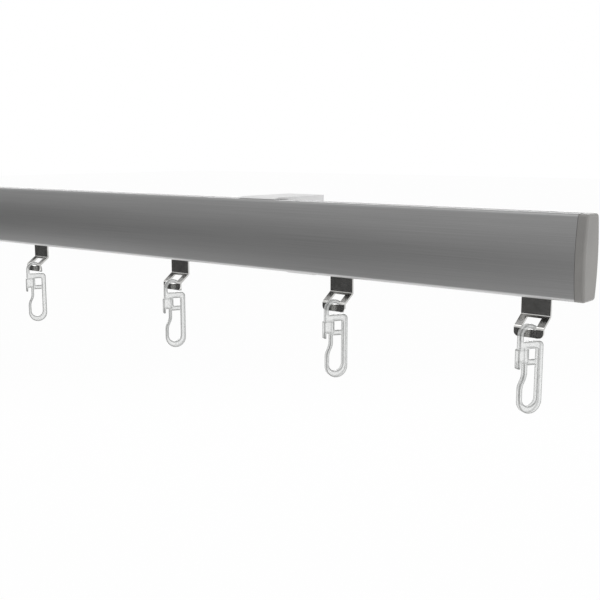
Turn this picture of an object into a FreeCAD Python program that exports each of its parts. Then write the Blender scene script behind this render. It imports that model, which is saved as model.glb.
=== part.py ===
# Inner-run curtain track: an aluminium profile with end caps and a wall bracket,
# and four gliders, each with two rollers, a bent steel strap and a clear pleat hook.
# Frame: +X along the track, +Y into the wall, +Z up, millimetres.
# The origin lies on the wall, midway between the two screw holes of the bracket.
import FreeCAD, Part
import Sketcher
import math
import os

V = FreeCAD.Vector

SIZES = {
    # aluminium profile
    "rail_length": 412.0,
    "rail_right": 169.0,
    "rail_height": 35.0,
    "rail_depth": 14.0,
    "rail_bulge": 1.6,
    "rail_round": 1.6,
    "lip_thick": 1.6,
    "slot_width": 3.6,
    "run_width": 9.0,
    "run_height": 8.2,
    "web_thick": 1.2,
    "room_width": 10.4,
    "top_lip": 1.4,
    "top_slot": 2.4,
    "top_width": 8.6,
    "top_height": 4.8,
    # end caps
    "cap_thick": 4.2,
    "cap_round": 0.8,
    "plug_length": 9.0,
    "plug_gap": 0.1,
    # wall bracket
    "wall_gap": 36.5,
    "mount_height": 6.0,
    "bracket_width": 24.0,
    "bracket_plate": 4.0,
    "bracket_arm": 8.0,
    "bracket_web": 5.0,
    "web_drop": 16.0,
    "plate_foot": 5.5,
    "plate_round": 3.0,
    "tongue_thick": 0.9,
    "tongue_gap": 0.1,
    "claw_thick": 1.2,
    "claw_gap": 0.2,
    "rail_seat": 0.2,
    "bracket_round": 4.0,
    "screw_pitch": 14.0,
    "screw_bore": 4.5,
    "screw_sink": 2.0,
    "clamp_width": 4.0,
    "clamp_length": 7.0,
    "clamp_point": 1.0,
    "clamp_key": 2.0,
    "clamp_socket": 2.2,
    "clamp_drop": 12.5,
    "clamp_fit": 0.05,
    # places of the gliders along the track
    "glider_1": -185.0,
    "glider_2": -59.2,
    "glider_3": 51.2,
    "glider_4": 150.7,
    # steel strap
    "strap_thick": 1.0,
    "strap_width": 13.0,
    "head_width": 23.0,
    "head_above": 3.7,
    "head_below": 2.2,
    "strap_drop": 7.6,
    "strap_run": 6.2,
    "strap_fall": 4.2,
    "bar_height": 4.2,
    "window_width": 6.6,
    "window_edge": 0.9,
    "window_sink": 0.9,
    "corner_round": 2.0,
    "fold_round": 0.5,
    # rollers
    "roller_span": 17.0,
    "roller_neck": 1.8,
    "wheel_width": 2.8,
    "wheel_size": 6.4,
    "wheel_side": 0.4,
    "neck_play": 0.08,
    "tread_gap": 0.05,
    # clear pleat hook
    "hook_inner": 3.0,
    "hook_band": 1.8,
    "hook_thick": 2.4,
    "hook_turn": 30.0,
    "hook_seat": 0.5,
    "tip_drop": 1.6,
    "loop_back": 6.7,
    "loop_front": 4.3,
    "loop_head": 2.4,
    "loop_bar": 3.2,
    "loop_leg": 2.5,
    "loop_corner": 2.0,
    "loop_depth": 27.5,
    "loop_floor": 3.2,
    "gate_width": 1.5,
    "gate_low": 23.0,
    "gate_high": 15.5,
    "gate_shift": 2.0,
    "gate_gap": 0.3,
    "clip_front": 5.4,
    "clip_wall": 1.1,
    "clip_depth": 13.8,
    "block_low": 11.4,
    "block_back": 0.6,
    "block_thick": 3.0,
    "eye_front": 0.2,
    "eye_low": 10.0,
    "tab_low": 12.6,
    "tab_thick": 1.2,
}


class Dim:
    """A length that knows its value and the sheet expression that gives it."""

    def __init__(self, value, text):
        self.value = value
        self.text = text

    def __add__(self, other):
        other = dim(other)
        return Dim(self.value + other.value, f"({self.text} + {other.text})")

    def __sub__(self, other):
        other = dim(other)
        return Dim(self.value - other.value, f"({self.text} - {other.text})")

    def __mul__(self, other):
        other = dim(other)
        return Dim(self.value * other.value, f"({self.text} * {other.text})")

    def __truediv__(self, other):
        other = dim(other)
        return Dim(self.value / other.value, f"({self.text} / {other.text})")

    def __neg__(self):
        return Dim(-self.value, f"(0 - {self.text})")

    def root(self):
        return Dim(math.sqrt(self.value), f"sqrt({self.text})")


def dim(number):
    if isinstance(number, Dim):
        return number
    return Dim(float(number), str(number))


doc = FreeCAD.newDocument("CurtainTrack")
sheet = doc.addObject("Spreadsheet::Sheet", "Sizes")
size = {}
for row, (name, value) in enumerate(SIZES.items(), start=1):
    sheet.set(f"A{row}", name)
    sheet.set(f"B{row}", str(value))
    sheet.setAlias(f"B{row}", name)
    size[name] = Dim(value, f"Sizes.{name}")
doc.recompute()

ZERO = dim(0)
NEAR = 0.001
parts = []


def bind(obj, prop, length):
    """Ties one property to its sheet expression."""
    obj.setExpression(prop, dim(length).text)


def new_body(label, x=ZERO, y=ZERO, z=ZERO, axis=None, turn=None):
    """A body placed in the frame, and turned about a vertical axis where asked."""
    body = doc.addObject("PartDesign::Body", label)
    body.Label = label
    if turn is not None:
        body.Placement = FreeCAD.Placement(V(), FreeCAD.Rotation(axis, turn.value))
        bind(body, "Placement.Rotation.Angle", turn)
    bind(body, "Placement.Base.x", x)
    bind(body, "Placement.Base.y", y)
    bind(body, "Placement.Base.z", z)
    parts.append(body)
    return body


def new_sketch(body, name, role, offset=None):
    """A sketch on one of the body's own origin planes."""
    sketch = body.newObject("Sketcher::SketchObject", f"{body.Label}_{name}")
    plane = [item for item in body.Origin.OriginFeatures if item.Role == role][0]
    sketch.AttachmentSupport = [(plane, "")]
    sketch.MapMode = "FlatFace"
    if offset is not None:
        bind(sketch, "AttachmentOffset.Base.z", offset)
    return sketch


def hold(sketch, rules):
    """Adds named constraints and ties each to its sheet expression."""
    for name, kind, ends, length in rules:
        index = sketch.addConstraint(Sketcher.Constraint(kind, *ends, length.value))
        sketch.renameConstraint(index, name)
        bind(sketch, f"Constraints.{name}", length)


def outline(sketch, tag, points, arcs=None):
    """A closed outline. arcs gives, for a side, its centre, the held axis and its way out."""
    arcs = arcs or {}
    count = len(points)
    spots = [V(x.value, y.value, 0) for x, y in points]
    sides = []
    for index, start in enumerate(spots):
        end = spots[(index + 1) % count]
        if index in arcs:
            centre = V(arcs[index][0].value, arcs[index][1].value, 0)
            way = arcs[index][3] or (start + end) * 0.5 - centre
            middle = centre + V(way).normalize() * (start - centre).Length
            sides.append(sketch.addGeometry(Part.Arc(start, middle, end)))
        else:
            sides.append(sketch.addGeometry(Part.LineSegment(start, end)))
    first = []
    for side, start in zip(sides, spots):
        forward = (sketch.getPoint(side, 1) - start).Length < NEAR
        first.append(1 if forward else 2)
    for index in range(count):
        after = (index + 1) % count
        ends = (sides[index], 3 - first[index], sides[after], first[after])
        sketch.addConstraint(Sketcher.Constraint("Coincident", *ends))
    rules = []
    for index, (x, y) in enumerate(points):
        ends = (-1, 1, sides[index], first[index])
        rules.append((f"{tag}_x{index}", "DistanceX", ends, x))
        rules.append((f"{tag}_y{index}", "DistanceY", ends, y))
    for index, (x, y, axis, way) in arcs.items():
        ends = (-1, 1, sides[index], 3)
        rules.append((f"{tag}_c{index}", f"Distance{axis}", ends, x if axis == "X" else y))
    hold(sketch, rules)


def box(sketch, tag, left, right, low, high):
    outline(sketch, tag, [(left, low), (right, low), (right, high), (left, high)])


def circle(sketch, tag, x, y, radius):
    side = sketch.addGeometry(Part.Circle(V(x.value, y.value, 0), V(0, 0, 1), radius.value))
    hold(sketch, [
        (f"{tag}_x", "DistanceX", (-1, 1, side, 3), x),
        (f"{tag}_y", "DistanceY", (-1, 1, side, 3), y),
        (f"{tag}_r", "Radius", (side,), radius),
    ])


def pad(body, sketch, length, symmetric=False, back=False):
    feature = body.newObject("PartDesign::Pad", sketch.Name + "_pad")
    feature.Profile = sketch
    feature.SideType = "Symmetric" if symmetric else "One side"
    feature.Reversed = back
    bind(feature, "Length", length)
    doc.recompute()
    return feature


def pocket(body, sketch, length=None, back=False):
    """A cut of the given depth, or through everything, which has to remove material."""
    before = body.Shape.Volume
    feature = body.newObject("PartDesign::Pocket", sketch.Name + "_cut")
    feature.Profile = sketch
    feature.Reversed = back
    if length is None:
        feature.Type = "ThroughAll"
        feature.SideType = "Symmetric"
    else:
        bind(feature, "Length", length)
    doc.recompute()
    if body.Shape.Volume >= before - NEAR:
        raise RuntimeError(f"{feature.Name} removes nothing")
    return feature


def turned(body, sketch):
    """A turned solid about the sketch's own horizontal axis."""
    feature = body.newObject("PartDesign::Revolution", sketch.Name + "_turn")
    feature.Profile = sketch
    feature.ReferenceAxis = (sketch, ["H_Axis"])
    feature.Angle = 360.0
    doc.recompute()
    return feature


def edges_where(body, test):
    """Names of the edges of the body's last feature that pass the test."""
    edges = body.Tip.Shape.Edges
    return [f"Edge{number}" for number, edge in enumerate(edges, start=1) if test(edge)]


def dress(body, kind, name, edges, prop, length):
    """A fillet or chamfer on the named edges."""
    feature = body.newObject(f"PartDesign::{kind}", f"{body.Label}_{name}")
    feature.Base = (body.Tip, edges) if body.Tip != feature else (feature.BaseFeature, edges)
    bind(feature, prop, length)
    doc.recompute()
    return feature


def along_x(edge, spots):
    """True for a straight edge along X that passes one of the given Y, Z spots."""
    box_of = edge.BoundBox
    if box_of.YLength > NEAR or box_of.ZLength > NEAR:
        return False
    spot = edge.CenterOfMass
    return any(math.hypot(spot.y - y.value, spot.z - z.value) < NEAR for y, z in spots)


# heights and depths that several pieces share
rail_base = -size["mount_height"]
rail_mid = -size["wall_gap"]
rail_left = size["rail_right"] - size["rail_length"]
rail_top = rail_base + size["rail_height"]
edge_depth = size["rail_depth"] / 2 - size["rail_bulge"]
half_height = size["rail_height"] / 2
bulge_centre = (half_height * half_height - size["rail_bulge"] * size["rail_bulge"])
bulge_centre = bulge_centre / (size["rail_bulge"] * 2) - edge_depth
run_top = size["lip_thick"] + size["run_height"]
room_low = run_top + size["web_thick"]
top_floor = size["rail_height"] - size["top_lip"] - size["top_height"]
room_high = top_floor - size["web_thick"]
axle_height = size["lip_thick"] + size["tread_gap"] + size["wheel_size"] / 2
corner_spots = [(side, height) for side in (edge_depth, -edge_depth)
                for height in (ZERO, size["rail_height"])]


def barrel(points_low, points_high):
    """Section with bulged sides, closed by the given runs of lower and upper points."""
    points = points_low + points_high
    turn = len(points_low) - 1
    arcs = {
        turn: (-bulge_centre, half_height, "X", V(1, 0, 0)),
        len(points) - 1: (bulge_centre, half_height, "X", V(-1, 0, 0)),
    }
    return points, arcs


def make_profile():
    """The extruded profile: glider run below, hollow room, bracket channel on top."""
    body = new_body("track_profile", rail_left, rail_mid, rail_base)
    slot = size["slot_width"] / 2
    run = size["run_width"] / 2
    lip = size["lip_thick"]
    mouth = size["top_slot"] / 2
    wide = size["top_width"] / 2
    high = size["rail_height"]
    under = high - size["top_lip"]
    low_points = [
        (-edge_depth, ZERO), (-slot, ZERO), (-slot, lip), (-run, lip), (-run, run_top),
        (run, run_top), (run, lip), (slot, lip), (slot, ZERO), (edge_depth, ZERO),
    ]
    high_points = [
        (edge_depth, high), (mouth, high), (mouth, under), (wide, under), (wide, top_floor),
        (-wide, top_floor), (-wide, under), (-mouth, under), (-mouth, high), (-edge_depth, high),
    ]
    sketch = new_sketch(body, "section", "YZ_Plane")
    points, arcs = barrel(low_points, high_points)
    outline(sketch, "wall", points, arcs)
    half_room = size["room_width"] / 2
    box(sketch, "room", -half_room, half_room, room_low, room_high)
    pad(body, sketch, size["rail_length"])
    corners = edges_where(body, lambda edge: along_x(edge, corner_spots))
    dress(body, "Fillet", "edges", corners, "Radius", size["rail_round"])


def make_cap(label, x, turn):
    """A cap of the profile's own outline with a plug that fills the hollow room."""
    body = new_body(label, x, rail_mid, rail_base, V(0, 0, 1), turn)
    sketch = new_sketch(body, "face", "YZ_Plane")
    high = size["rail_height"]
    points, arcs = barrel([(-edge_depth, ZERO), (edge_depth, ZERO)],
                          [(edge_depth, high), (-edge_depth, high)])
    outline(sketch, "rim", points, arcs)
    pad(body, sketch, size["cap_thick"])
    corners = edges_where(body, lambda edge: along_x(edge, corner_spots))
    dress(body, "Fillet", "corners", corners, "Radius", size["rail_round"])
    outer = size["cap_thick"].value
    rim = edges_where(body, lambda edge: edge.BoundBox.XMin > outer - NEAR)
    dress(body, "Chamfer", "rim", rim, "Size", size["cap_round"])
    plug = new_sketch(body, "plug", "YZ_Plane")
    half = size["room_width"] / 2 - size["plug_gap"]
    box(plug, "plug", -half, half, room_low + size["plug_gap"], room_high - size["plug_gap"])
    pad(body, plug, size["plug_length"], back=True)


bracket_top = rail_top + size["tongue_gap"] + size["tongue_thick"]
web_front = rail_mid + size["rail_depth"] / 2 + size["rail_seat"]
web_rear = web_front + size["bracket_web"]
clamp_height = bracket_top - size["clamp_drop"]


def make_bracket():
    """The wall plate, arm and claw in one casting; the claw grips the profile's top lip."""
    body = new_body("wall_bracket")
    claw_rear = rail_mid + size["top_slot"] / 2 - size["claw_gap"]
    claw_front = claw_rear - size["claw_thick"]
    claw_end = rail_mid + size["top_width"] / 2 - size["claw_gap"]
    foot_top = rail_top - size["top_lip"] - size["claw_gap"]
    foot_low = foot_top - size["claw_thick"]
    tongue_low = rail_top + size["tongue_gap"]
    plate_low = -(size["screw_pitch"] / 2 + size["plate_foot"])
    plate_front = -size["bracket_plate"]
    arm_low = bracket_top - size["bracket_arm"]
    web_low = bracket_top - size["web_drop"]
    side = new_sketch(body, "side", "YZ_Plane")
    outline(side, "arm", [
        (claw_front, bracket_top), (ZERO, bracket_top), (ZERO, plate_low),
        (plate_front, plate_low), (plate_front, arm_low), (web_rear, arm_low),
        (web_rear, web_low), (web_front, web_low), (web_front, tongue_low),
        (claw_rear, tongue_low), (claw_rear, foot_top), (claw_end, foot_top),
        (claw_end, foot_low), (claw_front, foot_low),
    ])
    pad(body, side, size["bracket_width"], symmetric=True)
    bends = [(plate_front, arm_low), (web_rear, arm_low)]
    dress(body, "Fillet", "bends", edges_where(body, lambda edge: along_x(edge, bends)),
          "Radius", size["bracket_round"])

    def foot_corner(edge):
        span = edge.BoundBox
        level = span.ZLength < NEAR and abs(span.ZMin - plate_low.value) < NEAR
        return level and span.XLength < NEAR
    dress(body, "Fillet", "foot", edges_where(body, foot_corner), "Radius", size["plate_round"])
    holes = new_sketch(body, "holes", "XZ_Plane")
    half_pitch = size["screw_pitch"] / 2
    for tag, height in (("upper", half_pitch), ("lower", -half_pitch)):
        circle(holes, tag, ZERO, height, size["screw_bore"] / 2)
    pocket(body, holes, size["bracket_plate"], back=True)
    front = plate_front.value

    def hole_rim(edge):
        span = edge.BoundBox
        round_edge = abs(span.XLength - size["screw_bore"].value) < NEAR
        return round_edge and span.YLength < NEAR and abs(span.YMin - front) < NEAR
    dress(body, "Chamfer", "sinks", edges_where(body, hole_rim), "Size", size["screw_sink"])
    bore = new_sketch(body, "bore", "XZ_Plane", -web_rear - size["bracket_round"])
    circle(bore, "bore", ZERO, clamp_height, size["clamp_width"] / 2)
    pocket(body, bore, size["bracket_round"] + size["bracket_web"], back=True)


def make_clamp_screw():
    """Set screw through the bracket's web, with a cone point against the profile."""
    body = new_body("clamp_screw", ZERO, web_front - size["rail_seat"], clamp_height)
    radius = size["clamp_width"] / 2 - size["clamp_fit"]
    shape = new_sketch(body, "shape", "YZ_Plane")
    outline(shape, "shape", [
        (ZERO, ZERO), (size["clamp_length"], ZERO), (size["clamp_length"], radius),
        (size["clamp_point"], radius), (ZERO, radius - size["clamp_point"]),
    ])
    turned(body, shape)
    key = new_sketch(body, "key", "XZ_Plane", -size["clamp_length"])
    reach = size["clamp_key"] / dim(3).root()
    flat = size["clamp_key"] / 2
    outline(key, "key", [
        (reach, ZERO), (reach / 2, flat), (-reach / 2, flat),
        (-reach, ZERO), (-reach / 2, -flat), (reach / 2, -flat),
    ])
    pocket(body, key, size["clamp_socket"], back=True)


strap = size["strap_thick"]
fold_high = -size["strap_drop"]
fold_low = fold_high - size["strap_fall"]
bar_low = fold_low - size["bar_height"]
window_low = fold_low - size["window_sink"]
window_high = fold_high - size["window_edge"]
slope = size["strap_fall"] / size["strap_run"]
fold_step = strap * (slope * slope + 1).root() - strap * slope


def make_strap(label, x):
    """Bent strap: T head with two open roller slots, sloped part with a window, lower bar."""
    body = new_body(label, x, rail_mid, rail_base)
    half = strap / 2
    head_top = axle_height + size["head_above"]
    head_low = axle_height - size["head_below"]
    front = -size["strap_run"] - half
    rear = -size["strap_run"] + half
    back_high = fold_high - fold_step
    back_low = fold_low - fold_step
    side = new_sketch(body, "side", "YZ_Plane")
    outline(side, "bend", [
        (-half, head_top), (-half, fold_high), (front, fold_low), (front, bar_low),
        (rear, bar_low), (rear, back_low), (half, back_high), (half, head_top),
    ])
    pad(body, side, size["strap_width"], symmetric=True)
    inner = [(-half, fold_high), (rear, back_low)]
    outer = [(half, back_high), (front, fold_low)]
    dress(body, "Fillet", "inner", edges_where(body, lambda edge: along_x(edge, inner)),
          "Radius", size["fold_round"])
    dress(body, "Fillet", "outer", edges_where(body, lambda edge: along_x(edge, outer)),
          "Radius", size["fold_round"] + strap)
    head = new_sketch(body, "head", "XZ_Plane")
    wide = size["head_width"] / 2
    box(head, "head", -wide, wide, head_low, head_top)
    pad(body, head, strap, symmetric=True)
    cuts = new_sketch(body, "cuts", "XZ_Plane")
    gap = size["window_width"] / 2
    box(cuts, "window", -gap, gap, window_low, window_high)
    seat = size["roller_neck"] / 2 + size["neck_play"]
    mouth = head_low - strap
    for tag, centre in (("left", -size["roller_span"] / 2), ("right", size["roller_span"] / 2)):
        outline(cuts, tag, [
            (centre - seat, mouth), (centre + seat, mouth),
            (centre + seat, axle_height), (centre - seat, axle_height),
        ], {2: (centre, axle_height, "Y", V(0, 1, 0))})
    pocket(body, cuts)
    lowest = bar_low.value

    def lower_corner(edge):
        span = edge.BoundBox
        level = span.ZLength < NEAR and abs(span.ZMin - lowest) < NEAR
        return level and span.XLength < NEAR
    dress(body, "Fillet", "corners", edges_where(body, lower_corner),
          "Radius", size["corner_round"])


def make_roller(label, x):
    """Moulded roller: two wheels joined by a thin neck that runs in the strap's slot."""
    body = new_body(label, x, rail_mid, rail_base + axle_height)
    inner = strap / 2 + size["wheel_side"]
    outer = inner + size["wheel_width"]
    rim = size["wheel_size"] / 2
    neck = size["roller_neck"] / 2
    shape = new_sketch(body, "shape", "YZ_Plane")
    outline(shape, "roller", [
        (-outer, ZERO), (outer, ZERO), (outer, rim), (inner, rim), (inner, neck),
        (-inner, neck), (-inner, rim), (-outer, rim),
    ])
    turned(body, shape)


def make_hook(label, x):
    """Clear moulded hook: arch over the strap's bar, clip block, spring gate and loop."""
    height = rail_base + window_low - size["hook_inner"] + size["hook_seat"]
    body = new_body(label, x, rail_mid - size["strap_run"], height,
                    V(0, 0, -1), size["hook_turn"])
    inner = size["hook_inner"]
    outer = inner + size["hook_band"]
    lap = inner + size["hook_band"] / 2
    head = -size["loop_head"]
    under = head - size["loop_bar"]
    arch = new_sketch(body, "arch", "YZ_Plane")
    outline(arch, "arch", [
        (outer, ZERO), (-outer, ZERO), (-outer, under), (-inner, under), (-inner, ZERO),
        (inner, ZERO), (inner, -size["tip_drop"]), (outer, -size["tip_drop"]),
    ], {
        0: (ZERO, ZERO, "Y", V(0, 1, 0)),
        4: (ZERO, ZERO, "Y", V(0, 1, 0)),
    })
    pad(body, arch, size["hook_thick"], symmetric=True)

    back = size["loop_back"]
    back_in = back - size["loop_leg"]
    fore = -size["loop_front"]
    fore_in = fore + size["gate_width"]
    corner = size["loop_corner"]
    depth = -size["loop_depth"]
    bow = (back - fore) / 2
    bow_in = (back_in - fore_in) / 2
    depth_in = depth - bow + size["loop_floor"] + bow_in
    low = -size["gate_low"]
    high = -size["gate_high"]
    mid = (low + high) / 2
    tip = -(size["block_low"] + size["gate_gap"])
    shift = size["gate_shift"]
    rise = high - low
    sway = (shift * shift + rise * rise) / (shift * 4)
    loop = new_sketch(body, "loop", "YZ_Plane")
    outline(loop, "loop", [
        (-lap, head), (back - corner, head), (back, head - corner), (back, depth),
        (fore, depth), (fore, low), (fore + shift / 2, mid), (fore + shift, high),
        (fore + shift, tip), (fore_in + shift, tip), (fore_in + shift, high),
        (fore_in + shift / 2, mid), (fore_in, low), (fore_in, depth_in),
        (back_in, depth_in), (back_in, under), (-lap, under),
    ], {
        1: (back - corner, head - corner, "X", None),
        3: (back - bow, depth, "Y", V(0, -1, 0)),
        5: (fore + sway, low, "Y", None),
        6: (fore + shift - sway, high, "Y", None),
        10: (fore_in + shift - sway, high, "Y", None),
        11: (fore_in + sway, low, "Y", None),
        13: (back_in - bow_in, depth_in, "Y", V(0, -1, 0)),
    })
    pad(body, loop, size["hook_thick"], symmetric=True)

    block = new_sketch(body, "block", "YZ_Plane")
    inside = -size["block_back"]
    front = -size["clip_front"]
    wall = front + size["clip_wall"]
    floor = -size["block_low"]
    outline(block, "block", [
        (front, under), (front, -size["clip_depth"]), (wall, -size["clip_depth"]),
        (wall, floor), (inside, floor), (inside, under),
    ])
    pad(body, block, size["block_thick"], symmetric=True)

    web = new_sketch(body, "web", "YZ_Plane")
    leg_mid = back - size["loop_leg"] / 2
    bar_mid = head - size["loop_bar"] / 2
    root = inside - size["block_back"]
    free = fore_in + shift + size["gate_gap"]
    outline(web, "web", [
        (root, floor), (free, floor), (free, -size["tab_low"]), (leg_mid, -size["tab_low"]),
        (leg_mid, bar_mid), (root, bar_mid),
    ])
    box(web, "eye", size["eye_front"], back_in, -size["eye_low"], under)
    pad(body, web, size["tab_thick"], symmetric=True)


make_profile()
make_cap("end_cap_right", size["rail_right"], None)
make_cap("end_cap_left", rail_left, dim(180))
make_bracket()
make_clamp_screw()
for number in (1, 2, 3, 4):
    place = size[f"glider_{number}"]
    make_strap(f"hanger_strap_{number}", place)
    make_roller(f"roller_{number}a", place - size["roller_span"] / 2)
    make_roller(f"roller_{number}b", place + size["roller_span"] / 2)
    make_hook(f"pleat_hook_{number}", place)
doc.recompute()

for item in doc.Objects:
    if "Invalid" in item.State or "Error" in item.State:
        raise RuntimeError(f"{item.Label} failed: {item.State}")
for body in parts:
    if body.Shape.isNull() or not body.Shape.isValid() or len(body.Shape.Solids) != 1:
        raise RuntimeError(f"{body.Label} is not one valid solid")

os.makedirs("parts", exist_ok=True)
for body in parts:
    body.Shape.exportStep(f"parts/{body.Label}.step")
print(f"{len(parts)} parts written")
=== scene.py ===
import math

import bmesh
import bpy
import numpy as np
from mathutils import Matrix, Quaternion, Vector


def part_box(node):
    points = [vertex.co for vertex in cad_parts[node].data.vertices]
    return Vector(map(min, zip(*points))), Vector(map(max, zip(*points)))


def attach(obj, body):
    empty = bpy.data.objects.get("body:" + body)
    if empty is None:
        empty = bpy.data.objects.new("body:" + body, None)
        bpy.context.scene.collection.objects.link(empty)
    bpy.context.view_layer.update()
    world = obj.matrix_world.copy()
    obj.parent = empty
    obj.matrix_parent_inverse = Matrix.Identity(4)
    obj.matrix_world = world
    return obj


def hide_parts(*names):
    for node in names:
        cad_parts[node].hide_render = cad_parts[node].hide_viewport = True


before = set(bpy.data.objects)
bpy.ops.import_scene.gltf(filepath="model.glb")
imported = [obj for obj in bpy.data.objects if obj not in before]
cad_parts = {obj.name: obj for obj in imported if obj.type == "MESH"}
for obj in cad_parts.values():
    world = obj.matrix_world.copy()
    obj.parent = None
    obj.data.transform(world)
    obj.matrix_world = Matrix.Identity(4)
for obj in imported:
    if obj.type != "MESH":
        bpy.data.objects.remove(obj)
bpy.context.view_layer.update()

GLIDERS = (1, 2, 3, 4)
MM = 0.001
WELD = 1e-6                      # metres; points nearer than this are one point
CREASE = math.radians(40.0)      # edges that bend by more than this stay sharp
FLAT = math.radians(0.4)         # faces that bend by less than this become one
EASED = math.radians(32.0)       # edges of a solid that bend by more than this are eased


# materials
LIP_START, LIP_FULL = -4.3 * MM, -5.0 * MM    # the lower lips get their painted highlight between these heights
RIM = "rim"                                   # the hooks' attribute, 0 on flats and 1 along rims; it places the painted shade on the rims
CLOUD_SHARE = 0.35                            # how much the broad streaks add to the brushing
NOISE_LOW, NOISE_HIGH = 0.3, 0.7              # most values of a noise lie between these
NOISE_ROUGHNESS = 0.55
MIX_FACTOR, MIX_FIRST, MIX_SECOND, MIX_RESULT = 0, 6, 7, 2    # a Mix node's colour sockets


def new_material(name):
    """A material with its node tree and its Principled shader."""
    material = bpy.data.materials.new(name)
    material.use_nodes = True
    tree = material.node_tree
    return material, tree, tree.nodes["Principled BSDF"]


def stretched_noise(tree, cycles, detail=3.0):
    """Noise in the part's own frame, in cycles per metre along X, Y and Z."""
    place = tree.nodes.new("ShaderNodeTexCoord")
    mapping = tree.nodes.new("ShaderNodeMapping")
    mapping.inputs["Scale"].default_value = cycles
    noise = tree.nodes.new("ShaderNodeTexNoise")
    noise.inputs["Scale"].default_value = 1.0
    noise.inputs["Detail"].default_value = detail
    noise.inputs["Roughness"].default_value = NOISE_ROUGHNESS
    tree.links.new(place.outputs["Object"], mapping.inputs["Vector"])
    tree.links.new(mapping.outputs["Vector"], noise.inputs["Vector"])
    return noise.outputs["Fac"]


def ramp(tree, source, stops):
    """A colour ramp with (position, grey or colour) stops."""
    node = tree.nodes.new("ShaderNodeValToRGB")
    band = node.color_ramp
    while len(band.elements) < len(stops):
        band.elements.new(0.5)
    for element, (position, colour) in zip(band.elements, stops):
        if not isinstance(colour, tuple):
            colour = (colour, colour, colour)
        element.position = position
        element.color = (*colour, 1.0)
    tree.links.new(source, node.inputs["Fac"])
    return node.outputs["Color"]


def span(tree, source, low, high):
    """Maps a 0 to 1 value to a range."""
    node = tree.nodes.new("ShaderNodeMapRange")
    node.inputs["To Min"].default_value = low
    node.inputs["To Max"].default_value = high
    tree.links.new(source, node.inputs["Value"])
    return node.outputs["Result"]


def combine(tree, operation, *values):
    """A Math node on values that are numbers or other nodes' sockets."""
    node = tree.nodes.new("ShaderNodeMath")
    node.operation = operation
    for socket, value in zip(node.inputs, values):
        if isinstance(value, float):
            socket.default_value = value
        else:
            tree.links.new(value, socket)
    return node.outputs["Value"]


def bump(tree, shader, source, strength, depth):
    """Small relief, with its depth in metres."""
    node = tree.nodes.new("ShaderNodeBump")
    node.inputs["Strength"].default_value = strength
    node.inputs["Distance"].default_value = depth
    tree.links.new(source, node.inputs["Height"])
    tree.links.new(node.outputs["Normal"], shader.inputs["Normal"])


def lip_highlight_mask(tree):
    """Mask of the painted highlight on the lower lips: 0 above them and 1 on them, by height in the
    part's own frame.
    """
    place = tree.nodes.new("ShaderNodeTexCoord")
    parts = tree.nodes.new("ShaderNodeSeparateXYZ")
    node = tree.nodes.new("ShaderNodeMapRange")
    node.interpolation_type = "SMOOTHSTEP"
    node.inputs["From Min"].default_value = LIP_START
    node.inputs["From Max"].default_value = LIP_FULL
    tree.links.new(place.outputs["Object"], parts.inputs["Vector"])
    tree.links.new(parts.outputs["Z"], node.inputs["Value"])
    return node.outputs["Result"]


def attribute(tree, name):
    """A value stored on the mesh's points."""
    node = tree.nodes.new("ShaderNodeAttribute")
    node.attribute_name = name
    return node.outputs["Fac"]


def facing(tree):
    """0 where a surface faces the eye and 1 at its silhouette."""
    node = tree.nodes.new("ShaderNodeLayerWeight")
    node.inputs["Blend"].default_value = 0.5
    return node.outputs["Facing"]


def anodised():
    """Matt anodised aluminium, finely brushed along the track, with a painted highlight on its
    lower lips.
    """
    material, tree, shader = new_material("anodised_aluminium")
    fine = stretched_noise(tree, (14.0, 5200.0, 5200.0))
    cloud = stretched_noise(tree, (9.0, 160.0, 160.0), detail=2.0)
    mixed = combine(tree, "MULTIPLY_ADD", cloud, CLOUD_SHARE, fine)
    matt = ramp(tree, mixed, [(0.3, 0.238), (1.0, 0.312)])
    # lighter colour for the lower lips: a painted highlight of the light from below
    lip_highlight = ramp(tree, mixed, [(0.3, 0.42), (1.0, 0.52)])
    colour = tree.nodes.new("ShaderNodeMix")
    colour.data_type = "RGBA"
    tree.links.new(lip_highlight_mask(tree), colour.inputs[MIX_FACTOR])
    tree.links.new(matt, colour.inputs[MIX_FIRST])
    tree.links.new(lip_highlight, colour.inputs[MIX_SECOND])
    tree.links.new(colour.outputs[MIX_RESULT], shader.inputs["Base Color"])
    tree.links.new(span(tree, fine, 0.36, 0.46), shader.inputs["Roughness"])
    shader.inputs["Metallic"].default_value = 0.75
    bump(tree, shader, fine, strength=0.02, depth=0.02 * MM)
    return material


def moulded(name, dark, light, rough, grain, strength, gloss=0.5):
    """A moulded or coated surface with a fine grain, in cycles per metre."""
    material, tree, shader = new_material(name)
    shader.inputs["Specular IOR Level"].default_value = gloss
    fine = stretched_noise(tree, (grain, grain, grain))
    cloud = stretched_noise(tree, (60.0, 60.0, 60.0))
    colour = ramp(tree, cloud, [(NOISE_LOW, dark), (NOISE_HIGH, light)])
    tree.links.new(colour, shader.inputs["Base Color"])
    tree.links.new(span(tree, fine, *rough), shader.inputs["Roughness"])
    bump(tree, shader, fine, strength, depth=0.05 * MM)
    return material


def sheet_steel(name, dark, light):
    """Sheet steel with faint rolling lines along its length."""
    material, tree, shader = new_material(name)
    fine = stretched_noise(tree, (4200.0, 900.0, 160.0))
    cloud = stretched_noise(tree, (420.0, 420.0, 420.0))
    colour = ramp(tree, cloud, [(NOISE_LOW, dark), (NOISE_HIGH, light)])
    tree.links.new(colour, shader.inputs["Base Color"])
    tree.links.new(span(tree, fine, 0.12, 0.22), shader.inputs["Roughness"])
    shader.inputs["Metallic"].default_value = 1.0
    bump(tree, shader, fine, strength=0.06, depth=0.04 * MM)
    return material


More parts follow.
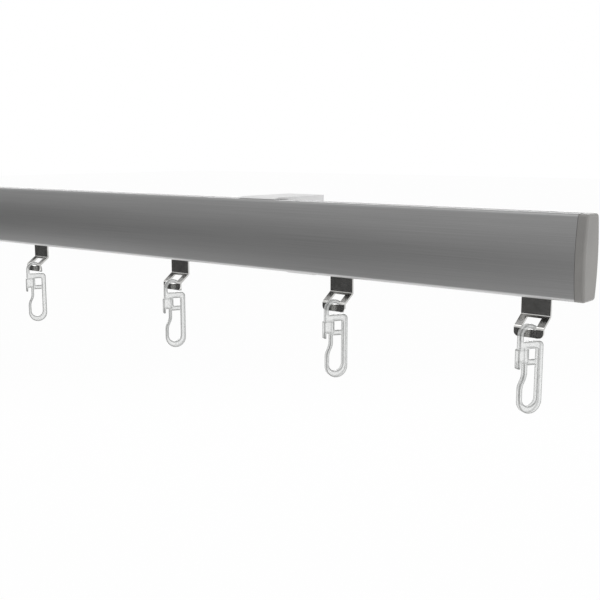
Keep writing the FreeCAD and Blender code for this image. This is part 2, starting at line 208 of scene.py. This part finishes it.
def clear_plastic():
    """Clear moulded plastic: see-through walls, and painted shade that darkens the rims and the
    silhouette.
    """
    material, tree, shader = new_material("clear_plastic")
    flow = stretched_noise(tree, (260.0, 260.0, 110.0))
    mottle = stretched_noise(tree, (900.0, 900.0, 420.0))
    silhouette = ramp(tree, facing(tree), [(0.55, 0.0), (0.95, 0.8)])
    rim = combine(tree, "MAXIMUM", attribute(tree, RIM), silhouette)
    # rims and silhouettes painted dark grey: painted shade for the dark edges of clear plastic
    tint_and_rim_shade = ramp(tree, rim, [(0.0, (0.94, 0.95, 0.94)),
                            (0.4, (0.66, 0.67, 0.66)),
                            (1.0, (0.31, 0.316, 0.31))])
    veil = combine(tree, "MULTIPLY", span(tree, rim, 0.42, 0.76), span(tree, mottle, 0.7, 1.3))
    tree.links.new(tint_and_rim_shade, shader.inputs["Base Color"])
    tree.links.new(veil, shader.inputs["Alpha"])
    tree.links.new(span(tree, flow, 0.06, 0.16), shader.inputs["Roughness"])
    shader.inputs["IOR"].default_value = 1.49
    bump(tree, shader, flow, strength=0.05, depth=0.2 * MM)
    return material


ALUMINIUM = anodised()
CAP = moulded("grey_plastic", dark=(0.25, 0.245, 0.237), light=(0.285, 0.277, 0.266),
              rough=(0.38, 0.5), grain=2600.0, strength=0.05)
COAT = moulded("pale_coat", dark=0.78, light=0.84,
               rough=(0.7, 0.85), grain=1800.0, strength=0.08, gloss=0.2)
STEEL = sheet_steel("zinc_steel", dark=(0.5, 0.495, 0.48), light=(0.64, 0.635, 0.62))
PLAIN_STEEL = sheet_steel("plain_steel", dark=0.1, light=0.16)
NYLON = moulded("white_nylon", dark=0.72, light=0.8,
                rough=(0.4, 0.5), grain=2200.0, strength=0.05)
CLEAR = clear_plastic()


# pieces made from the solids
BRACKET_EASE, STRAP_EASE, ROLLER_EASE = 0.4 * MM, 0.14 * MM, 0.25 * MM
BRACKET_LOW, BRACKET_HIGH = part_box("wall_bracket")
TONGUE, NOSE_LENGTH, NOSE_TIP = 0.9 * MM, 3.6 * MM, 0.25 * MM
HOOK_VOXEL = 0.17 * MM
MELT_FACTOR, MELT_STEPS = 0.5, 16
RIM_BEND, RIM_SPREAD = 0.045, 6    # the bend that counts as a full rim, and steps of blurring


def add_piece(mesh, name, node, body, material):
    """Links a finished mesh as a piece that stands for a CAD node."""
    bmesh.ops.recalc_face_normals(mesh, faces=mesh.faces)
    for face in mesh.faces:
        face.smooth = True
    for edge in mesh.edges:
        edge.smooth = edge.calc_face_angle(0.0) < CREASE
    data = bpy.data.meshes.new(name)
    mesh.to_mesh(data)
    mesh.free()
    piece = bpy.data.objects.new(name, data)
    bpy.context.scene.collection.objects.link(piece)
    data.materials.append(material)
    normals = piece.modifiers.new("normals", "WEIGHTED_NORMAL")
    normals.keep_sharp = True
    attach(piece, body)
    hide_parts(node)


def paint(node, material):
    """Gives a CAD node that stays in view its material."""
    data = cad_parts[node].data
    data.materials.clear()
    data.materials.append(material)


def solid_copy(node):
    """A copy of a solid's mesh with its points welded."""
    mesh = bmesh.new()
    mesh.from_mesh(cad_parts[node].data)
    bmesh.ops.remove_doubles(mesh, verts=mesh.verts, dist=WELD)
    return mesh


def soften(node, body, material, width, segments, keep=None, after=None):
    """A copy of a solid with its edges eased, which stands for it.

    keep tells the edges to leave sharp, and after changes the eased mesh.
    """
    mesh = solid_copy(node)
    bmesh.ops.dissolve_limit(mesh, angle_limit=FLAT, verts=mesh.verts, edges=mesh.edges)
    edges = [e for e in mesh.edges if e.is_manifold and e.calc_face_angle(0.0) > EASED]
    edges = [e for e in edges if keep is None or not keep(e)]
    bmesh.ops.bevel(mesh, geom=edges, offset=width, segments=segments, profile=0.5,
                    affect="EDGES", clamp_overlap=True)
    if after:
        after(mesh)
    add_piece(mesh, node + "_eased", node, body, material)


def at_front(spot):
    """True for a point on the bracket's front end."""
    return abs(spot.y - BRACKET_LOW.y) < WELD


def at_nose(edge):
    """True for the edges of the bracket's front end that reach its top."""
    spots = [v.co for v in edge.verts]
    return all(at_front(s) for s in spots) and max(s.z for s in spots) > BRACKET_HIGH.z - WELD


def add_nose(mesh):
    """Draws the tongue forward over the profile's front lip, down to a thin tip."""
    split = BRACKET_HIGH.z - TONGUE
    end = [f for f in mesh.faces if all(at_front(v.co) for v in f.verts)]
    cut = end + [e for e in mesh.edges if any(f in end for f in e.link_faces)]
    cut += [v for v in mesh.verts if any(f in end for f in v.link_faces)]
    bmesh.ops.bisect_plane(mesh, geom=cut, plane_co=(0, 0, split), plane_no=(0, 0, 1))
    front = []
    for face in mesh.faces:
        centre = face.calc_center_median()
        if at_front(centre) and centre.z > split:
            front.append(face)
    drawn = bmesh.ops.extrude_face_region(mesh, geom=front)["geom"]
    bmesh.ops.delete(mesh, geom=front, context="FACES_ONLY")
    for vert in drawn:
        if isinstance(vert, bmesh.types.BMVert):
            vert.co.y -= NOSE_LENGTH
            if vert.co.z > split + NOSE_TIP:
                vert.co.z = split + NOSE_TIP


def mark_rims(data):
    """Stores how sharply the surface bends outwards, 0 on flats and 1 along rims."""
    count = len(data.vertices)
    spots, normals = np.empty(count * 3), np.empty(count * 3)
    data.vertices.foreach_get("co", spots)
    data.vertices.foreach_get("normal", normals)
    spots, normals = spots.reshape(-1, 3), normals.reshape(-1, 3)
    pairs = np.empty(len(data.edges) * 2, dtype=np.int32)
    data.edges.foreach_get("vertices", pairs)
    start, end = pairs.reshape(-1, 2).T
    way = spots[end] - spots[start]
    way /= np.linalg.norm(way, axis=1, keepdims=True) + 1e-12
    bend, near = np.zeros(count), np.zeros(count)
    np.add.at(bend, start, -(normals[start] * way).sum(axis=1))
    np.add.at(bend, end, (normals[end] * way).sum(axis=1))
    np.add.at(near, pairs, 1.0)
    bend = np.maximum(bend / np.maximum(near, 1.0), 0.0)
    for _ in range(RIM_SPREAD):
        total = bend.copy()
        np.add.at(total, start, bend[end])
        np.add.at(total, end, bend[start])
        bend = total / (near + 1.0)
    rim = data.attributes.new(RIM, "FLOAT", "POINT")
    rim.data.foreach_set("value", np.clip(bend / RIM_BEND, 0.0, 1.0).astype(np.float32))


def make_hook(number):
    """The hook's solid with moulded, rounded edges."""
    node = f"pleat_hook_{number}"
    mesh = solid_copy(node)
    data = bpy.data.meshes.new(f"hook_{number}")
    mesh.to_mesh(data)
    mesh.free()
    piece = bpy.data.objects.new(f"clear_hook_{number}", data)
    bpy.context.scene.collection.objects.link(piece)
    cells = piece.modifiers.new("cells", "REMESH")
    cells.mode = "VOXEL"
    cells.voxel_size = HOOK_VOXEL
    cells.use_smooth_shade = True
    melt = piece.modifiers.new("melt", "SMOOTH")
    melt.factor = MELT_FACTOR
    melt.iterations = MELT_STEPS
    melted = piece.evaluated_get(bpy.context.evaluated_depsgraph_get())
    baked = bpy.data.meshes.new_from_object(melted)
    piece.modifiers.clear()
    piece.data = baked
    baked.materials.clear()
    baked.materials.append(CLEAR)
    mark_rims(baked)
    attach(piece, f"hook_{number}")
    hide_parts(node)


# pieces made from the profile's sizes, in millimetres, as in the CAD model
RAIL_LEFT, RAIL_RIGHT = (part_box("track_profile")[i].x / MM for i in (0, 1))
RAIL_MID, RAIL_BASE = -36.5, -6.0
RAIL_HEIGHT, RAIL_DEPTH, RAIL_BULGE, RAIL_ROUND = 35.0, 14.0, 1.6, 1.6
LIP, SLOT, RUN_WIDTH, RUN_HEIGHT, WEB = 1.6, 3.6, 9.0, 8.2, 1.2
TOP_LIP, TOP_SLOT, TOP_WIDTH, TOP_HEIGHT = 1.4, 2.4, 8.6, 4.8
ROOM_WIDTH = 10.4
ROOM_LOW = LIP + RUN_HEIGHT + WEB
ROOM_HIGH = RAIL_HEIGHT - TOP_LIP - TOP_HEIGHT - WEB
LIP_EASE, LONG_EDGE = 0.15, 100.0                # only edges along the track are this long
CAP_THICK, CAP_ROUND, SEAM_ROUND = 4.2, 1.1, 0.32
PLUG_LENGTH, PLUG_GAP = 9.0, 0.1
TIP_LENGTH, TIP_ACROSS, TIP_UP = 1.0, 0.94, 0.96    # the plug's lead-in, and its end's shares
CORNER_STEPS, SIDE_STEPS, SEAM_STEPS, RIM_STEPS = 8, 28, 4, 8


def right_side():
    """The bulged right side with its rounded corners, from bottom to top, as (y, z)."""
    half = RAIL_HEIGHT / 2
    radius = (half ** 2 + RAIL_BULGE ** 2) / (2 * RAIL_BULGE)
    centre = RAIL_DEPTH / 2 - radius
    reach = math.sqrt((radius - RAIL_ROUND) ** 2 - (half - RAIL_ROUND) ** 2)
    tilt = math.atan2(half - RAIL_ROUND, reach)
    lower = []
    for step in range(CORNER_STEPS):
        angle = -math.pi / 2 + (math.pi / 2 - tilt) * step / CORNER_STEPS
        lower.append((centre + reach + RAIL_ROUND * math.cos(angle),
                      RAIL_ROUND + RAIL_ROUND * math.sin(angle)))
    side = []
    for step in range(SIDE_STEPS + 1):
        angle = -tilt + 2 * tilt * step / SIDE_STEPS
        side.append((centre + radius * math.cos(angle), half + radius * math.sin(angle)))
    upper = [(y, RAIL_HEIGHT - z) for y, z in reversed(lower)]
    return lower + side + upper


def mirrored(points):
    """The same line on the left side, from top to bottom."""
    return [(-y, z) for y, z in reversed(points)]


def ring(mesh, points, x):
    """Points of an outline at one place along the track."""
    return [mesh.verts.new((x * MM, (RAIL_MID + y) * MM, (RAIL_BASE + z) * MM))
            for y, z in points]


def tube(mesh, outlines):
    """Skins a tube over outlines, each as (points, x), and returns its last ring."""
    rings = [ring(mesh, points, x) for points, x in outlines]
    for first, second in zip(rings, rings[1:]):
        for index in range(len(first)):
            after = (index + 1) % len(first)
            mesh.faces.new((first[index], first[after], second[after], second[index]))
    return rings[-1]


def make_rail():
    """The extruded profile with true round corners and eased lip edges."""
    mesh = bmesh.new()
    side = right_side()
    under = RAIL_HEIGHT - TOP_LIP
    channel_floor = under - TOP_HEIGHT
    run_top = LIP + RUN_HEIGHT
    channel = [(TOP_SLOT / 2, RAIL_HEIGHT), (TOP_SLOT / 2, under), (TOP_WIDTH / 2, under),
               (TOP_WIDTH / 2, channel_floor)]
    run = [(RUN_WIDTH / 2, run_top), (RUN_WIDTH / 2, LIP), (SLOT / 2, LIP), (SLOT / 2, 0.0)]
    outline = side + channel + mirrored(channel) + mirrored(side) + mirrored(run) + run
    room = [(-ROOM_WIDTH / 2, ROOM_LOW), (ROOM_WIDTH / 2, ROOM_LOW),
            (ROOM_WIDTH / 2, ROOM_HIGH), (-ROOM_WIDTH / 2, ROOM_HIGH)]
    for points in (outline, room):
        tube(mesh, [(points, RAIL_LEFT), (points, RAIL_RIGHT)])
    for x in (RAIL_LEFT, RAIL_RIGHT):
        rim = [e for e in mesh.edges if e.is_boundary
               and all(abs(v.co.x - x * MM) < WELD for v in e.verts)]
        bmesh.ops.triangle_fill(mesh, edges=rim, use_beauty=True)
    bmesh.ops.recalc_face_normals(mesh, faces=mesh.faces)
    sharp = [e for e in mesh.edges if e.is_manifold and e.calc_face_angle(0.0) > CREASE
             and abs(e.verts[0].co.x - e.verts[1].co.x) > LONG_EDGE * MM]
    bmesh.ops.bevel(mesh, geom=sharp, offset=LIP_EASE * MM, segments=2, profile=0.5,
                    affect="EDGES")
    add_piece(mesh, "rail", "track_profile", "track", ALUMINIUM)


def make_cap(name, node, start, way):
    """A moulded cap with a soft outer rim and an eased seam, and its plug."""
    mesh = bmesh.new()
    outline = right_side() + mirrored(right_side())
    count = len(outline)

    def inset(depth):
        points = []
        for index, (y, z) in enumerate(outline):
            before, after = outline[index - 1], outline[(index + 1) % count]
            dy, dz = after[0] - before[0], after[1] - before[1]
            size = math.hypot(dy, dz)
            points.append((y - depth * dz / size, z + depth * dy / size))
        return points

    steps = []
    for step in range(SEAM_STEPS + 1):
        angle = math.pi / 2 * step / SEAM_STEPS
        steps.append((SEAM_ROUND * (1 - math.sin(angle)), SEAM_ROUND * (1 - math.cos(angle))))
    for step in range(RIM_STEPS + 1):
        angle = math.pi / 2 * step / RIM_STEPS
        steps.append((CAP_ROUND * (1 - math.cos(angle)),
                      CAP_THICK - CAP_ROUND + CAP_ROUND * math.sin(angle)))
    shell = tube(mesh, [(inset(depth), start + way * along) for depth, along in steps])
    mesh.faces.new(shell)
    half = ROOM_WIDTH / 2 - PLUG_GAP
    low, high = ROOM_LOW + PLUG_GAP, ROOM_HIGH - PLUG_GAP
    middle = (low + high) / 2
    plug = [(-half, low), (half, low), (half, high), (-half, high)]
    tip = [(y * TIP_ACROSS, (z - middle) * TIP_UP + middle) for y, z in plug]
    stages = [(plug, 0.0), (plug, TIP_LENGTH - PLUG_LENGTH), (tip, -PLUG_LENGTH)]
    mesh.faces.new(tube(mesh, [(points, start + way * along) for points, along in stages]))
    seam = [e for e in mesh.edges if e.is_boundary]
    bmesh.ops.triangle_fill(mesh, edges=seam, use_beauty=True)
    add_piece(mesh, name, node, "track", CAP)


make_rail()
make_cap("cap_left", "end_cap_left", RAIL_LEFT, -1)
make_cap("cap_right", "end_cap_right", RAIL_RIGHT, 1)
soften("wall_bracket", "track", COAT, BRACKET_EASE, 3, keep=at_nose, after=add_nose)
paint("clamp_screw", PLAIN_STEEL)
for number in GLIDERS:
    soften(f"hanger_strap_{number}", f"glider_{number}", STEEL, STRAP_EASE, 2)
    make_hook(number)
    for letter in "ab":
        roller = f"roller_{number}{letter}"
        soften(roller, roller, NYLON, ROLLER_EASE, 2)


# stage, light and camera, in metres and degrees
FLOOR_Z, FLOOR_SIZE = -0.45, 30
FLOOR_GREY, FLOOR_GLOW = (0.9, 0.9, 0.9, 1), 0.97    # its colour, and its white share when seen
SKY_WHITE, SKY_LIGHT, SKY_SEEN = (1, 1, 1, 1), 0.55, 1.0
FLAG_PLACE, FLAG_TOWARDS = (-0.75, -0.95, -0.2), (0.63, 0.777, 0.16)
FLAG_SIZE, FLAG_ROLL, FLAG_GREY = (1.9, 0.45), 9.0, (0.03, 0.03, 0.03, 1)
CAMERA_PLACE, CAMERA_DOWN, CAMERA_LEFT = (0.31611, -0.39491, 0.05429), 9.16, 39.04
SENSOR_MM, LENS_MM, CLIP_START = 36.0, 56.57, 0.01


def seen_rays(tree):
    """1 for camera, glossy and transmission rays, and 0 for the rest."""
    path = tree.nodes.new("ShaderNodeLightPath")
    total = path.outputs["Is Camera Ray"]
    for name in ("Is Glossy Ray", "Is Transmission Ray"):
        total = combine(tree, "MAXIMUM", total, path.outputs[name])
    return total


def plane(name, centre, towards, width, height, roll=0.0):
    """A flat card with its face towards a direction, rolled about it by an angle."""
    data = bpy.data.meshes.new(name)
    w, h = width / 2, height / 2
    data.from_pydata([(-w, -h, 0), (w, -h, 0), (w, h, 0), (-w, h, 0)], [], [(0, 1, 2, 3)])
    card = bpy.data.objects.new(name, data)
    card.location = centre
    turn = Vector(towards).to_track_quat("Z", "Y") @ Quaternion((0, 0, 1), math.radians(roll))
    card.rotation_euler = turn.to_euler()
    bpy.context.scene.collection.objects.link(card)
    return card


def floor_material():
    """Pale to the light, and almost white to the eye and in reflections."""
    material = bpy.data.materials.new("floor_white")
    material.use_nodes = True
    tree = material.node_tree
    tree.nodes.clear()
    diffuse = tree.nodes.new("ShaderNodeBsdfDiffuse")
    diffuse.inputs["Color"].default_value = FLOOR_GREY
    glow = tree.nodes.new("ShaderNodeEmission")
    mix = tree.nodes.new("ShaderNodeMixShader")
    out = tree.nodes.new("ShaderNodeOutputMaterial")
    tree.links.new(span(tree, seen_rays(tree), 0.0, FLOOR_GLOW), mix.inputs[0])
    tree.links.new(diffuse.outputs[0], mix.inputs[1])
    tree.links.new(glow.outputs[0], mix.inputs[2])
    tree.links.new(mix.outputs[0], out.inputs["Surface"])
    return material


def lamp(name, place, target, size, watts):
    """A soft rectangular lamp, unseen by the camera."""
    data = bpy.data.lights.new(name, "AREA")
    data.shape = "RECTANGLE"
    data.size, data.size_y = size
    data.energy = watts
    light = bpy.data.objects.new(name, data)
    light.location = place
    aim = Vector(target) - Vector(place)
    light.rotation_euler = aim.to_track_quat("-Z", "Y").to_euler()
    light.visible_camera = False
    bpy.context.scene.collection.objects.link(light)


floor = plane("floor", (0, 0, FLOOR_Z), (0, 0, 1), FLOOR_SIZE, FLOOR_SIZE)
floor.data.materials.append(floor_material())

world = bpy.data.worlds.new("studio")
bpy.context.scene.world = world
world.use_nodes = True
sky_tree = world.node_tree
sky = sky_tree.nodes["Background"]
sky.inputs["Color"].default_value = SKY_WHITE
sky_tree.links.new(span(sky_tree, seen_rays(sky_tree), SKY_LIGHT, SKY_SEEN), sky.inputs["Strength"])

TARGET = (0.0, -0.04, 0.0)
lamp("top_softbox", (-0.1, -0.35, 0.9), TARGET, size=(1.0, 0.5), watts=2.0)
lamp("right_softbox", (1.0, -0.1, 0.35), TARGET, size=(0.6, 0.6), watts=2.0)
lamp("back_softbox", (-0.95, 1.1, 0.35), TARGET, size=(2.4, 0.6), watts=9.0)
lamp("low_softbox", (-0.1, 0.25, -0.42), (-0.1, 0.25, 0.0), size=(2.4, 1.5), watts=5.0)
lamp("left_strip", (-1.05, -0.5, -0.33), (-0.24, -0.04, 0.0), size=(0.35, 0.1), watts=0.3)

# a dark card that the front of the metal reflects
flag = plane("front_flag", FLAG_PLACE, FLAG_TOWARDS, *FLAG_SIZE, FLAG_ROLL)
flag_material, _, flag_shader = new_material("flag_grey")
flag_shader.inputs["Base Color"].default_value = FLAG_GREY
flag.data.materials.append(flag_material)
flag.visible_camera = False

camera_data = bpy.data.cameras.new("camera")
camera_data.sensor_fit = "HORIZONTAL"
camera_data.sensor_width = SENSOR_MM
camera_data.lens = LENS_MM
camera_data.clip_start = CLIP_START
camera = bpy.data.objects.new("camera", camera_data)
camera.location = CAMERA_PLACE
camera.rotation_euler = (math.radians(90 - CAMERA_DOWN), 0, math.radians(CAMERA_LEFT))
bpy.context.scene.collection.objects.link(camera)
bpy.context.scene.camera = camera
bpy.context.scene.view_settings.view_transform = "Standard"
